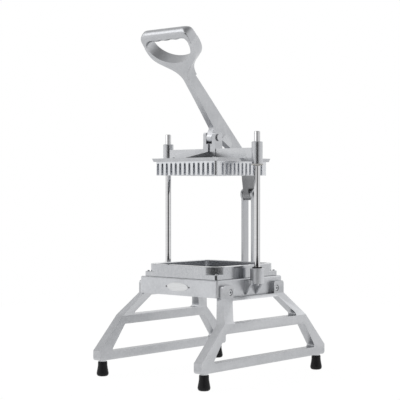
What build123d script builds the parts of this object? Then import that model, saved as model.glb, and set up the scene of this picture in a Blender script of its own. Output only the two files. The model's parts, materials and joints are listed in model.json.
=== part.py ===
from build123d import *
import math
import os

# Hand-operated vegetable cutting machine: a finger block is driven down two guide rods by a D-handled
# lever and pushes food through a grid of crossed blades. Millimetres, +Z up, +Y to the rear, origin on
# the table under the middle of the four feet. Pairs named as pivots and corners are (Y, Z).

# Fits
SLIDE_GAP = 0.05
SEAT_GAP = 0.02
FREE_GAP = 0.3
CASTING_EDGE = 1.0

# Cutting grid: the upper set stands at places along X, the lower set at places along Y
PITCH = 12.7
UPPER_BLADES = 13
LOWER_BLADES = 11
BLADE_THICKNESS = 0.9
BLADE_EDGE = 0.2
BLADE_BEVEL = 1.8
BLADE_HEIGHT = 6.0
BLADE_TAB = 4.5

# Finger block, in plan
SIDE_FINGER = 9.0
END_FINGER = 20.8
BLOCK_HALF_X = PITCH * (UPPER_BLADES - 1) / 2 + SIDE_FINGER
BLOCK_HALF_Y = PITCH * (LOWER_BLADES - 1) / 2 + END_FINGER
BLOCK_CORNER = 7.0
BLOCK_CLEARANCE = 1.3
SLOT_TOP_WIDTH = 5.6
SLOT_BOTTOM_WIDTH = 6.7
SLOT_ROUND = 1.7
BLOCK_SCREW_PLACE = PITCH * 4.5
BLOCK_SCREW_RADIUS = 2.0
BLOCK_SCREW_HEAD = 3.6
BLOCK_SCREW_HEAD_HEIGHT = 2.5
BLOCK_SCREW_DEPTH = 12.0

# Chute, blade frame and feed collar, in plan
CHUTE_HALF = max(BLOCK_HALF_X, BLOCK_HALF_Y) + BLOCK_CLEARANCE
CHUTE_CORNER = 10.0
RING_WIDTH = 8.5
RING_HALF = CHUTE_HALF + RING_WIDTH
RING_CORNER = 20.0
COLLAR_HALF_X = CHUTE_HALF + 13.5
COLLAR_HALF_Y = CHUTE_HALF + 14.5
COLLAR_CORNER = 5.0
COLLAR_WALL_CORNER = 33.0
SCREW_PLACE = CHUTE_HALF + 8.0
SCREW_RADIUS = 2.5
SCREW_HEAD = 4.0
SCREW_HEAD_HEIGHT = 4.0
SCREW_TIP = 2.0

# Base casting and rod brackets, in plan
BASE_HALF_X = CHUTE_HALF + 21.0
BASE_HALF_Y = CHUTE_HALF + 20.25
BASE_WALL = 8.0
BASE_CORNER = 5.0
BASE_EDGE = 2.0
DECK_THICKNESS = 8.0
ROD_X = BASE_HALF_X + 17.0
ROD_RADIUS = 6.35
ROD_CHAMFER = 1.2
BOSS_RADIUS = ROD_RADIUS + 8.15
SHELF_THICKNESS = 7.0
SHELF_HALF = 20.0
GUSSET_THICKNESS = 5.0
GUSSET_REACH = 18.0
BUMPER_RADIUS = ROD_RADIUS + 3.65
BUMPER_HEIGHT = 2.2
ROD_SCREW_DEPTH = 10.0

# Feet
FOOT_TOP_RADIUS = 9.8
FOOT_BOTTOM_RADIUS = 12.6
FOOT_TOP = 31.0
FOOT_RIM = 5.0
FOOT_BAND = 2.0
FOOT_NECK = 8.0
STUD_RADIUS = 4.0
STUD_REACH = 14.0
WASHER_RADIUS = 8.0
WASHER_THICKNESS = 2.5

# Leg frames
LEG_TOP_X = BASE_HALF_X + 9.5
LEG_OUTER = BASE_HALF_X + 42.5
LEG_INNER = LEG_OUTER - 20.0
LEG_LEAN_THICKNESS = 16.5
LEG_FOOT_Y = 203.0
LEG_BEND_Y = 134.5
LEG_TOP_Y = BASE_HALF_Y - 6.75
LEG_BOTTOM = FOOT_TOP + WASHER_THICKNESS
LEG_FOOT_BEND = LEG_BOTTOM + 20.5
LEG_TOP = LEG_BOTTOM + 137.5
LEG_BEND = LEG_TOP - 47.0
LEG_INNER_BEND = LEG_BEND - 2.0
LEG_FOOT_CORNER = 6.0
LOWER_WINDOW = ((LEG_FOOT_Y - 33.6, LEG_BOTTOM + 17.5), (LEG_BEND_Y - 5.5, LEG_BEND - 19.0))
UPPER_WINDOW = ((LEG_BEND_Y - 27.5, LEG_BEND), (LEG_TOP_Y - 25.0, LEG_TOP - 6.0))
WINDOW_CORNER = 4.0
FOOT_X = LEG_OUTER - 9.5
FOOT_Y = LEG_FOOT_Y - 18.0
PAD_WIDTH = 33.0
PAD_TOP = LEG_TOP + 25.8
PAD_CORNER = 6.0
BOLT_Y = LEG_TOP_Y - 23.6
BOLT_Z = LEG_TOP + 11.0
BOLT_RADIUS = 4.0
BOLT_HEAD_RADIUS = 6.3
BOLT_HEAD = 5.0
NUT_ACROSS = 13.0
NUT_HEIGHT = 6.5
NUT_THREADS_SHOWN = 1.0

# Heights of the base, the collar and the rod brackets
BASE_BOTTOM = LEG_TOP + FREE_GAP
BASE_TOP = BASE_BOTTOM + 35.2
RING_HEIGHT = 9.2
RING_BOTTOM = BASE_TOP - 1.3
RING_TOP = RING_BOTTOM + RING_HEIGHT
COLLAR_BOTTOM = BASE_TOP + 0.6
COLLAR_FLANGE_TOP = BASE_TOP + 10.5
COLLAR_TOP = BASE_TOP + 26.5
SHELF_BOTTOM = BASE_TOP - 10.5
GUSSET_BOTTOM = BASE_BOTTOM + 1.7
ROD_SEAT = SHELF_BOTTOM + 4.0
BOSS_TOP = BASE_TOP + 21.5

# Pusher head
STROKE = 209.5
BUSH_WALL = 2.4
BUSH_LIP = 2.5
BUSH_LIP_RADIUS = ROD_RADIUS + 6.25
SLIDE_RADIUS = ROD_RADIUS + 5.05
SLIDE_BOTTOM = BOSS_TOP + BUMPER_HEIGHT + FREE_GAP + STROKE + BUSH_LIP
SLIDE_TOP = SLIDE_BOTTOM + 46.0
ROD_TOP = SLIDE_TOP + 21.5
PLATE_HALF_X = BLOCK_HALF_X + 6.3
PLATE_HALF_Y = BLOCK_HALF_Y + 5.7
PLATE_CORNER = 5.0
PLATE_THICKNESS = 7.0
PLATE_TAPER = 26.0
PLATE_BOTTOM = SLIDE_BOTTOM + 5.5
PLATE_TOP = PLATE_BOTTOM + PLATE_THICKNESS
BLOCK_BOTTOM = PLATE_BOTTOM - 28.6
SLOT_TOP = PLATE_BOTTOM - 2.4
BEAM_HALF = 6.0
BEAM_TOP = PLATE_TOP + 21.0
RIB_THICKNESS = 7.0
RIB_TOP = BEAM_TOP - 6.0
RIB_MARGIN = 2.0
EAR_THICKNESS = 8.2
EAR_CLEARANCE = 0.75
EAR_HALF = 12.2
EAR_FLARE = 2.0
EAR_SLOT_HALF = 3.0
EAR_ROUND = 3.0

# Lever and its pivots
PIVOT = (4.7, PLATE_TOP + 45.0)
EAR_TOP = PIVOT[1] + 10.5
PIVOT_EYE = 12.5
EAR_FLOOR = PIVOT[1] - PIVOT_EYE - 1.5
LINK_LENGTH = STROKE - 20.5
LINK_FOOT = (BASE_HALF_Y + 23.25, BASE_BOTTOM + 18.7)
TAIL = (LINK_FOOT[0], LINK_FOOT[1] + LINK_LENGTH)
LEVER_THICKNESS = 14.5
EAR_GAP = LEVER_THICKNESS + 2 * EAR_CLEARANCE
TAIL_EYE = 13.0
TAIL_EYE_WIDTH = 19.4
PIN_RADIUS = 4.75
PIN_HEAD = 7.5
PIN_HEAD_THICKNESS = 3.0
PIN_TAIL = 1.5
CLIP_RADIUS = 8.0
CLIP_THICKNESS = 1.6
LEVER_ROUND = 2.0
PAD_PLACE = (PIVOT[0] + 37.3, PIVOT[1] - 10.0)
PAD_RADIUS = 17.4
PAD_RAISE = EAR_CLEARANCE - 0.15

# Outline of the lever seen from the side: offsets from the pivot and, towards its end, from the tail
LEVER_FRONT = ((-84.6, 117.3), (-50.2, 76.7), (-5.5, 21.4), (-5.0, 18.0), (-9.5, 10.5), (-PIVOT_EYE, 0.0))
LEVER_UNDERSIDE = ((5.0, -PIVOT_EYE), (22.7, -5.3), (49.7, -21.1))
LEVER_REAR = ((19.6, 48.4), (-11.2, 78.7), (-67.7, 133.0))
TAIL_FRONT = ((-36.0, 80.0), (-22.0, 57.0), (-TAIL_EYE, 0.0))
TAIL_REAR = ((TAIL_EYE, 0.0), (9.0, 33.0), (-4.0, 69.0), (-32.0, 98.7))

# D grip, in the plane that slopes up from the end of the shank
GRIP_ROOT = (PIVOT[0] - 74.7, PIVOT[1] + 127.0)
GRIP_SLOPE = 132.0
GRIP_DEPTH = 27.0
GRIP_HALF = 64.5
GRIP_ARM = 7.5
GRIP_SHOULDER = 14.0
GRIP_SIDE = 80.0
GRIP_SOCKET = 38.0
BAND_FLARE = ((26.0, 28.0), (50.0, 45.5))
BAR_PLACE = 105.5
BAR_RADIUS = 12.5
OPENING_BOTTOM = 43.0
OPENING_HEIGHT = 42.0
GROOVES = 4
GROOVE_PITCH = 26.0
GROOVE_DEPTH = 1.6
GROOVE_RADIUS = 30.0

# Rear link
LUG_HALF = 10.6
LUG_RADIUS = 12.5
STRAP_INNER = 11.0
STRAP_THICKNESS = 5.0
STRAP_WIDTH = 19.0
STRAP_END = 13.0


def solid_between(sketch, low, high):
    """A flat XY sketch raised from one height to another."""
    return Pos(0, 0, low) * extrude(sketch, high - low)


def upright(x, y, radius, low, high):
    return Pos(x, y, (low + high) / 2) * Cylinder(radius, high - low)


def crossways(point, radius, low, high):
    """A cylinder along X from low to high at a (Y, Z) point."""
    return Pos((low + high) / 2, *point) * Rot(0, 90, 0) * Cylinder(radius, high - low)


def side_plane(x=0.0):
    """Sketch plane whose x is the part's Y and whose y is its Z, looking along X."""
    return Plane(origin=(x, 0, 0), x_dir=(0, 1, 0), z_dir=(1, 0, 0))


def profile(points, low, high):
    """A (Y, Z) outline made solid from one X to another."""
    return extrude(side_plane(low) * make_face(Polyline(*points, close=True)), high - low)


def both_sides(build):
    """The pieces that build(side) makes at the left, -1, and at the right, 1."""
    return {name: build(side) for name, side in (("left", -1), ("right", 1))}


def rounded_square(half_x, half_y, corner):
    return RectangleRounded(2 * half_x, 2 * half_y, corner)


def line_places(count):
    """Places of a row of lines at the cutting pitch, about the middle."""
    return [PITCH * (i - (count - 1) / 2) for i in range(count)]


def chute(low, high):
    return solid_between(rounded_square(CHUTE_HALF, CHUTE_HALF, CHUTE_CORNER), low, high)


def corner_places(x, y):
    return [(sx * x, sy * y) for sx in (-1, 1) for sy in (-1, 1)]


def ring_pocket(low, high):
    """Room for the blade frame in the base's deck and in the collar."""
    half = RING_HALF + FREE_GAP
    return solid_between(rounded_square(half, half, RING_CORNER), low, high)


def base_frame():
    """Open box with a deck round the chute, a bracket for each guide rod and the link's rear lug."""
    outer = solid_between(rounded_square(BASE_HALF_X, BASE_HALF_Y, BASE_CORNER), BASE_BOTTOM, BASE_TOP)
    outer = chamfer(outer.faces().sort_by(Axis.Z)[-1].edges(), BASE_EDGE)
    deck_bottom = BASE_TOP - DECK_THICKNESS
    under = rounded_square(BASE_HALF_X - BASE_WALL, BASE_HALF_Y - BASE_WALL, BASE_CORNER)
    body = outer - solid_between(under, BASE_BOTTOM, deck_bottom) - chute(BASE_BOTTOM, BASE_TOP)
    body -= ring_pocket(RING_BOTTOM, BASE_TOP)
    for side in (-1, 1):
        body += rod_bracket(side)
    for side in (-1, 1):
        body -= upright(side * ROD_X, 0, ROD_RADIUS + SEAT_GAP, ROD_SEAT, BOSS_TOP)
        body -= upright(side * ROD_X, 0, SCREW_RADIUS + SEAT_GAP, SHELF_BOTTOM, ROD_SEAT)
        wall = sorted((side * (BASE_HALF_X - BASE_WALL), side * BASE_HALF_X))
        for y in (-BOLT_Y, BOLT_Y):
            body -= crossways((y, BOLT_Z), BOLT_RADIUS + SEAT_GAP, *wall)
    for x, y in corner_places(SCREW_PLACE, SCREW_PLACE):
        body -= upright(x, y, SCREW_RADIUS + SEAT_GAP, deck_bottom, BASE_TOP)
    return body + link_lug() - crossways(LINK_FOOT, PIN_RADIUS + SEAT_GAP, -LUG_HALF, LUG_HALF)


def rod_bracket(side):
    """Shelf, boss and two gussets that carry a guide rod outside the base wall."""
    wall = side * (BASE_HALF_X - 1)
    length = ROD_X - abs(wall)
    middle = wall + side * length / 2
    shelf_place = Pos(middle, 0, SHELF_BOTTOM + SHELF_THICKNESS / 2)
    shelf = shelf_place * Box(length, 2 * SHELF_HALF, SHELF_THICKNESS)
    outer = shelf.faces().sort_by(Axis.X)[-1 if side > 0 else 0]
    shelf = fillet(outer.edges().filter_by(Axis.Z), SHELF_THICKNESS)
    boss = upright(side * ROD_X, 0, BOSS_RADIUS, SHELF_BOTTOM, BOSS_TOP)
    bracket = shelf + chamfer(boss.faces().sort_by(Axis.Z)[-1].edges(), CASTING_EDGE)
    outline = [
        (wall, SHELF_BOTTOM),
        (wall + side * GUSSET_REACH, SHELF_BOTTOM),
        (wall + side, GUSSET_BOTTOM),
        (wall, GUSSET_BOTTOM),
    ]
    web = extrude(Plane.XZ * make_face(Polyline(*outline, close=True)), GUSSET_THICKNESS)
    return bracket + Pos(0, SHELF_HALF, 0) * web + Pos(0, GUSSET_THICKNESS - SHELF_HALF, 0) * web


def link_lug():
    """Rear lug between the two link straps."""
    y, z = LINK_FOOT
    wall = BASE_HALF_Y - 1
    outline = [(wall, BASE_TOP - 2), (y, z + LUG_RADIUS), (y, z - LUG_RADIUS), (wall, BASE_BOTTOM)]
    return profile(outline, -LUG_HALF, LUG_HALF) + crossways(LINK_FOOT, LUG_RADIUS, -LUG_HALF, LUG_HALF)


def leg_outline():
    """Outer outline of a leg frame seen from the side."""
    half = [
        (LEG_TOP_Y, LEG_TOP),
        (LEG_BEND_Y, LEG_BEND),
        (LEG_FOOT_Y, LEG_FOOT_BEND),
        (LEG_FOOT_Y, LEG_BOTTOM),
    ]
    return [(-y, z) for y, z in half] + list(reversed(half))


def window(corners):
    (low_y, low_z), (high_y, high_z) = corners
    outline = [(-low_y, low_z), (low_y, low_z), (high_y, high_z), (-high_y, high_z)]
    hole = make_face(Polyline(*outline, close=True))
    return fillet(hole.vertices(), WINDOW_CORNER)


def leg_frame(side):
    """Side frame: leaning upper panel, upright lower panel, two windows and two bolt pads."""
    face = make_face(Polyline(*leg_outline(), close=True))
    feet = face.vertices().filter_by(lambda v: v.Y < LEG_BOTTOM + 1)
    face = fillet(feet, LEG_FOOT_CORNER) - window(LOWER_WINDOW) - window(UPPER_WINDOW)
    slab = extrude(side_plane(0) * face, LEG_OUTER + 1)
    fold = [
        (LEG_INNER, LEG_BOTTOM),
        (LEG_OUTER, LEG_BOTTOM),
        (LEG_OUTER, LEG_BEND),
        (LEG_TOP_X, LEG_TOP),
        (LEG_TOP_X - LEG_LEAN_THICKNESS, LEG_TOP),
        (LEG_INNER, LEG_INNER_BEND),
    ]
    section = make_face(Polyline(*fold, close=True))
    frame = slab & Pos(0, LEG_FOOT_Y, 0) * extrude(Plane.XZ * section, 2 * LEG_FOOT_Y)
    rail_low = UPPER_WINDOW[1][1]
    rail_middle = Pos((BASE_HALF_X + LEG_TOP_X) / 2, 0, (rail_low + LEG_TOP) / 2)
    frame += rail_middle * Box(LEG_TOP_X - BASE_HALF_X, 2 * BOLT_Y, LEG_TOP - rail_low)
    frame += bolt_pad(-1) + bolt_pad(1)
    for y in (-BOLT_Y, BOLT_Y):
        head = (LEG_TOP_X - BOLT_HEAD, LEG_TOP_X)
        frame -= crossways((y, BOLT_Z), BOLT_RADIUS + SEAT_GAP, BASE_HALF_X, LEG_TOP_X)
        frame -= crossways((y, BOLT_Z), BOLT_HEAD_RADIUS + FREE_GAP, *head)
    for y in (-FOOT_Y, FOOT_Y):
        frame -= upright(FOOT_X, y, STUD_RADIUS + SEAT_GAP, LEG_BOTTOM, LEG_BOTTOM + STUD_REACH)
    return frame if side > 0 else mirror(frame, Plane.YZ)


def bolt_pad(end):
    """Upright pad that bolts to the base's side, at the front or rear end of the frame's top."""
    low = UPPER_WINDOW[1][1]
    place = Pos((BASE_HALF_X + LEG_TOP_X) / 2, end * (LEG_TOP_Y - PAD_WIDTH / 2), (low + PAD_TOP) / 2)
    pad = place * Box(LEG_TOP_X - BASE_HALF_X, PAD_WIDTH, PAD_TOP - low)
    return fillet(pad.edges().filter_by(Axis.X).sort_by(Axis.Z)[-2:], PAD_CORNER)


def leg_frame_bolts():
    bolts = []
    seat = LEG_TOP_X - BOLT_HEAD
    inner = BASE_HALF_X - BASE_WALL - NUT_HEIGHT - NUT_THREADS_SHOWN
    for side in (-1, 1):
        head = sorted((side * seat, side * LEG_TOP_X))
        shank = sorted((side * seat, side * inner))
        for y in (-BOLT_Y, BOLT_Y):
            bolt = crossways((y, BOLT_Z), BOLT_HEAD_RADIUS, *head)
            bolts.append(bolt + crossways((y, BOLT_Z), BOLT_RADIUS, *shank))
    return bolts


def leg_frame_nuts():
    nuts = []
    hexagon = RegularPolygon(NUT_ACROSS / 2, 6, major_radius=False)
    ring = hexagon - Circle(BOLT_RADIUS + SEAT_GAP)
    for side in (-1, 1):
        wall = side * (BASE_HALF_X - BASE_WALL)
        low = min(wall, wall - side * NUT_HEIGHT)
        for y in (-BOLT_Y, BOLT_Y):
            nuts.append(extrude(side_plane(low) * Pos(y, BOLT_Z) * ring, NUT_HEIGHT))
    return nuts


def foot(x, y):
    """Tapered rubber tip with a rimmed sole, turned about its stud."""
    outline = [
        (0, 0),
        (FOOT_BOTTOM_RADIUS - FOOT_RIM, 0),
        (FOOT_BOTTOM_RADIUS - FOOT_RIM / 4, FOOT_RIM / 2),
        (FOOT_BOTTOM_RADIUS, FOOT_RIM),
        (FOOT_BOTTOM_RADIUS, FOOT_RIM + FOOT_BAND),
        (FOOT_TOP_RADIUS, FOOT_TOP - FOOT_NECK),
        (FOOT_TOP_RADIUS, FOOT_TOP),
        (0, FOOT_TOP),
    ]
    body = revolve(Plane.XZ * make_face(Polyline(*outline, close=True)), Axis.Z)
    socket = upright(0, 0, STUD_RADIUS + SEAT_GAP, FOOT_TOP - STUD_REACH, FOOT_TOP)
    return Pos(x, y, 0) * (body - socket)


def foot_studs():
    """Threaded stud and washer between each foot and its leg."""
    studs = []
    for x, y in corner_places(FOOT_X, FOOT_Y):
        stud = upright(x, y, STUD_RADIUS, FOOT_TOP - STUD_REACH, LEG_BOTTOM + STUD_REACH)
        studs.append(stud + upright(x, y, WASHER_RADIUS, FOOT_TOP, LEG_BOTTOM))
    return studs


def guide_rod(side):
    rod = upright(side * ROD_X, 0, ROD_RADIUS, ROD_SEAT, ROD_TOP)
    rod = chamfer(rod.faces().sort_by(Axis.Z)[-1].edges(), ROD_CHAMFER)
    thread_end = ROD_SEAT + ROD_SCREW_DEPTH + SCREW_RADIUS
    return rod - upright(side * ROD_X, 0, SCREW_RADIUS + SEAT_GAP, ROD_SEAT, thread_end)


def rod_bumper(side):
    ring = upright(side * ROD_X, 0, BUMPER_RADIUS, BOSS_TOP, BOSS_TOP + BUMPER_HEIGHT)
    return ring - upright(side * ROD_X, 0, ROD_RADIUS + SEAT_GAP, BOSS_TOP, BOSS_TOP + BUMPER_HEIGHT)


def rod_retaining_screws():
    screws = []
    for side in (-1, 1):
        head = upright(side * ROD_X, 0, SCREW_HEAD, SHELF_BOTTOM - SCREW_HEAD_HEIGHT, SHELF_BOTTOM)
        shank = upright(side * ROD_X, 0, SCREW_RADIUS, SHELF_BOTTOM, ROD_SEAT + ROD_SCREW_DEPTH)
        screws.append(head + shank)
    return screws


def feed_collar():
    """Thick upright rim round the chute, flush with its flange but for a ledge at each corner."""
    flange = rounded_square(COLLAR_HALF_X, COLLAR_HALF_Y, COLLAR_CORNER)
    body = solid_between(flange, COLLAR_BOTTOM, COLLAR_FLANGE_TOP)
    body = chamfer(body.faces().sort_by(Axis.Z)[-1].edges(), CASTING_EDGE)
    rim = rounded_square(COLLAR_HALF_X, COLLAR_HALF_Y, COLLAR_WALL_CORNER)
    body += solid_between(rim, COLLAR_BOTTOM, COLLAR_TOP)
    body -= chute(COLLAR_BOTTOM, COLLAR_TOP)
    body = chamfer(body.faces().sort_by(Axis.Z)[-1].edges(), CASTING_EDGE)
    body -= ring_pocket(COLLAR_BOTTOM, RING_TOP)
    for x, y in corner_places(SCREW_PLACE, SCREW_PLACE):
        body -= upright(x, y, SCREW_RADIUS + SEAT_GAP, COLLAR_BOTTOM, COLLAR_FLANGE_TOP)
    return body


def blade_frame():
    """Square ring slotted for the blade ends: upper set on the Y rails, lower set on the X rails."""
    ring = solid_between(rounded_square(RING_HALF, RING_HALF, RING_CORNER), RING_BOTTOM, RING_TOP)
    ring -= chute(RING_BOTTOM, RING_TOP)
    slot = BLADE_THICKNESS + 2 * SLIDE_GAP
    reach = 2 * (CHUTE_HALF + BLADE_TAB + FREE_GAP)
    upper_tab = RING_TOP - upper_blade_bottom()
    for x in line_places(UPPER_BLADES):
        ring -= Pos(x, 0, RING_TOP - upper_tab / 2) * Box(slot, reach, upper_tab)
    for y in line_places(LOWER_BLADES):
        ring -= Pos(0, y, RING_BOTTOM + BLADE_HEIGHT / 2) * Box(reach, slot, BLADE_HEIGHT)
    return ring


def upper_blade_bottom():
    return RING_BOTTOM + BLADE_HEIGHT + FREE_GAP


def chute_reach(place):
    """Half length of the chute along a line at this distance from its middle."""
    into_corner = max(0.0, abs(place) - (CHUTE_HALF - CHUTE_CORNER))
    return CHUTE_HALF - CHUTE_CORNER + math.sqrt(CHUTE_CORNER**2 - into_corner**2)


def blade(place, tab_height):
    """One blade along Y on the ground: bevelled edge up, ends cut down to the tab's height."""
    length = 2 * (CHUTE_HALF + BLADE_TAB)
    half = BLADE_THICKNESS / 2
    edge = BLADE_EDGE / 2
    shoulder = BLADE_HEIGHT - BLADE_BEVEL
    outline = [
        (-half, 0),
        (half, 0),
        (half, shoulder),
        (edge, BLADE_HEIGHT),
        (-edge, BLADE_HEIGHT),
        (-half, shoulder),
    ]
    section = make_face(Polyline(*outline, close=True))
    body = Pos(0, length / 2, 0) * extrude(Plane.XZ * section, length)
    clear = chute_reach(abs(place) + half) - FREE_GAP
    trim = Box(2 * BLADE_THICKNESS, length / 2 - clear, BLADE_HEIGHT)
    for end in (-1, 1):
        middle = end * (clear + length / 2) / 2
        body -= Pos(0, middle, tab_height + BLADE_HEIGHT / 2) * trim
    return body


def upper_blades():
    bottom = upper_blade_bottom()
    return [Pos(x, 0, bottom) * blade(x, RING_TOP - bottom) for x in line_places(UPPER_BLADES)]


def lower_blades():
    tab = BLADE_HEIGHT - BLADE_BEVEL
    return [Pos(0, y, RING_BOTTOM) * Rot(0, 0, 90) * blade(y, tab) for y in line_places(LOWER_BLADES)]


def collar_screws():
    """Screws from below that clamp collar and base, their tips standing out of the collar's ledges."""
    screws = []
    under = BASE_TOP - DECK_THICKNESS
    for x, y in corner_places(SCREW_PLACE, SCREW_PLACE):
        head = upright(x, y, SCREW_HEAD, under - SCREW_HEAD_HEIGHT, under)
        screws.append(head + upright(x, y, SCREW_RADIUS, under, COLLAR_FLANGE_TOP + SCREW_TIP))
    return screws


def pusher_yoke():
    """Top casting of the pusher: drafted plate, cross beam, rod bosses, centre rib and clevis."""
    plate_outline = Pos(0, 0, PLATE_TOP) * rounded_square(PLATE_HALF_X, PLATE_HALF_Y, PLATE_CORNER)
    plate = extrude(plate_outline, -PLATE_THICKNESS, taper=PLATE_TAPER)
    beam_height = BEAM_TOP - PLATE_BOTTOM
    beam = Pos(0, 0, PLATE_BOTTOM + beam_height / 2) * Box(2 * ROD_X, 2 * BEAM_HALF, beam_height)
    body = plate + beam
    for side in (-1, 1):
        boss = upright(side * ROD_X, 0, SLIDE_RADIUS, SLIDE_BOTTOM, SLIDE_TOP)
        body += chamfer(boss.faces().sort_by(Axis.Z)[-1].edges(), CASTING_EDGE)
    rib_end = PLATE_HALF_Y - RIB_MARGIN
    rib = [(-rib_end, PLATE_TOP), (-EAR_HALF, RIB_TOP), (EAR_HALF, RIB_TOP), (rib_end, PLATE_TOP)]
    body += profile(rib, -RIB_THICKNESS / 2, RIB_THICKNESS / 2)
    body = body - clevis_gap() + clevis()
    for side in (-1, 1):
        body -= upright(side * ROD_X, 0, bush_radius() + SEAT_GAP, SLIDE_BOTTOM, SLIDE_TOP)
    for x, y in corner_places(BLOCK_SCREW_PLACE, BLOCK_SCREW_PLACE):
        body -= upright(x, y, BLOCK_SCREW_RADIUS + SEAT_GAP, PLATE_BOTTOM, PLATE_TOP)
    return body - crossways(PIVOT, PIN_RADIUS + SEAT_GAP, -ear_reach(), ear_reach())


def clevis_gap():
    """Narrow gap between the clevis ears under the lever's eye."""
    place = Pos(0, PIVOT[0], (RIB_TOP + EAR_TOP) / 2)
    return place * Box(2 * EAR_SLOT_HALF, 2 * EAR_HALF, EAR_TOP - RIB_TOP)


def clevis():
    """Two upright ears, flared at the foot, that meet below the lever's eye but for a narrow gap."""
    gap, reach = EAR_GAP / 2, ear_reach()
    foot_half = reach + EAR_FLARE
    half = [
        (EAR_SLOT_HALF, RIB_TOP),
        (EAR_SLOT_HALF, EAR_FLOOR),
        (gap, EAR_FLOOR),
        (gap, EAR_TOP),
        (reach, EAR_TOP),
        (reach, EAR_FLOOR),
        (foot_half, PLATE_TOP),
    ]
    outline = half + [(-x, z) for x, z in reversed(half)]
    ears = extrude(Plane.XZ * make_face(Polyline(*outline, close=True)), 2 * EAR_HALF)
    ears = Pos(0, PIVOT[0] + EAR_HALF, 0) * ears
    tops = ears.edges().filter_by(Axis.X).group_by(Axis.Z)[-1]
    return fillet(tops, EAR_ROUND)


def bush_radius():
    return ROD_RADIUS + SLIDE_GAP + BUSH_WALL


def slide_bushing(side):
    """Bearing sleeve through a rod boss, with its lip below."""
    x = side * ROD_X
    sleeve = upright(x, 0, bush_radius(), SLIDE_BOTTOM, SLIDE_TOP)
    sleeve += upright(x, 0, BUSH_LIP_RADIUS, SLIDE_BOTTOM - BUSH_LIP, SLIDE_BOTTOM)
    return sleeve - upright(x, 0, ROD_RADIUS + SLIDE_GAP, SLIDE_BOTTOM - BUSH_LIP, SLIDE_TOP)


def slot_section():
    """Slot between two rows of fingers: narrower and rounded off at its closed top."""
    low, high = SLOT_BOTTOM_WIDTH / 2, SLOT_TOP_WIDTH / 2
    half = [(low, BLOCK_BOTTOM), (high, SLOT_TOP - SLOT_ROUND), (high - SLOT_ROUND, SLOT_TOP)]
    return make_face(Polyline(*half, *[(-x, z) for x, z in reversed(half)], close=True))


def finger_block():
    """Block cut by crossed slots into rows of fingers that pass between the blades."""
    body = solid_between(rounded_square(BLOCK_HALF_X, BLOCK_HALF_Y, BLOCK_CORNER), BLOCK_BOTTOM, PLATE_BOTTOM)
    section = slot_section()
    along_y = Pos(0, BLOCK_HALF_Y, 0) * extrude(Plane.XZ * section, 2 * BLOCK_HALF_Y)
    along_x = extrude(side_plane(-BLOCK_HALF_X) * section, 2 * BLOCK_HALF_X)
    cuts = [Pos(x, 0, 0) * along_y for x in line_places(UPPER_BLADES)]
    cuts += [Pos(0, y, 0) * along_x for y in line_places(LOWER_BLADES)]
    body -= cuts
    hole_end = PLATE_BOTTOM - BLOCK_SCREW_DEPTH - BLOCK_SCREW_RADIUS
    for x, y in corner_places(BLOCK_SCREW_PLACE, BLOCK_SCREW_PLACE):
        body -= upright(x, y, BLOCK_SCREW_RADIUS + SEAT_GAP, hole_end, PLATE_BOTTOM)
    return body


def finger_block_screws():
    screws = []
    for x, y in corner_places(BLOCK_SCREW_PLACE, BLOCK_SCREW_PLACE):
        head = upright(x, y, BLOCK_SCREW_HEAD, PLATE_TOP, PLATE_TOP + BLOCK_SCREW_HEAD_HEIGHT)
        shank = upright(x, y, BLOCK_SCREW_RADIUS, PLATE_BOTTOM - BLOCK_SCREW_DEPTH, PLATE_TOP)
        screws.append(head + shank)
    return screws


def headed_pin(point, reach):
    """Pin through reach each way, with a head at the right and room for a clip at the left."""
    pin = crossways(point, PIN_RADIUS, -reach - CLIP_THICKNESS - PIN_TAIL, reach)
    return pin + crossways(point, PIN_HEAD, reach, reach + PIN_HEAD_THICKNESS)


def pin_clip(point, reach):
    ring = crossways(point, CLIP_RADIUS, -reach - CLIP_THICKNESS, -reach)
    return ring - crossways(point, PIN_RADIUS + SEAT_GAP, -reach - CLIP_THICKNESS, -reach)


def ear_reach():
    return EAR_GAP / 2 + EAR_THICKNESS


def lever_side():
    """Side outline of the lever: shank, pivot lug, and the tail that hooks down to the link."""
    outline = [grip_point(GRIP_SOCKET, -GRIP_DEPTH / 2 + 1)]
    outline += offset_points(PIVOT, LEVER_FRONT + LEVER_UNDERSIDE)
    outline += offset_points(TAIL, TAIL_FRONT + TAIL_REAR)
    outline += offset_points(PIVOT, LEVER_REAR)
    outline.append(grip_point(GRIP_SOCKET, GRIP_DEPTH / 2 - 4))
    face = make_face(Polyline(*outline, close=True))
    return face + Pos(*PIVOT) * Circle(PIVOT_EYE) + Pos(*TAIL) * Circle(TAIL_EYE)


def offset_points(origin, offsets):
    return [(origin[0] + y, origin[1] + z) for y, z in offsets]


def grip_point(along, off):
    """(Y, Z) of a point along the grip's slope, and off it towards the rear."""
    slope = math.radians(GRIP_SLOPE)
    y = GRIP_ROOT[0] + along * math.cos(slope) + off * math.sin(slope)
    z = GRIP_ROOT[1] + along * math.sin(slope) - off * math.cos(slope)
    return (y, z)


def grip_plane():
    slope = math.radians(GRIP_SLOPE)
    return Plane(
        origin=(0, *GRIP_ROOT), x_dir=(1, 0, 0), z_dir=(0, -math.sin(slope), math.cos(slope))
    )


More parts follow.
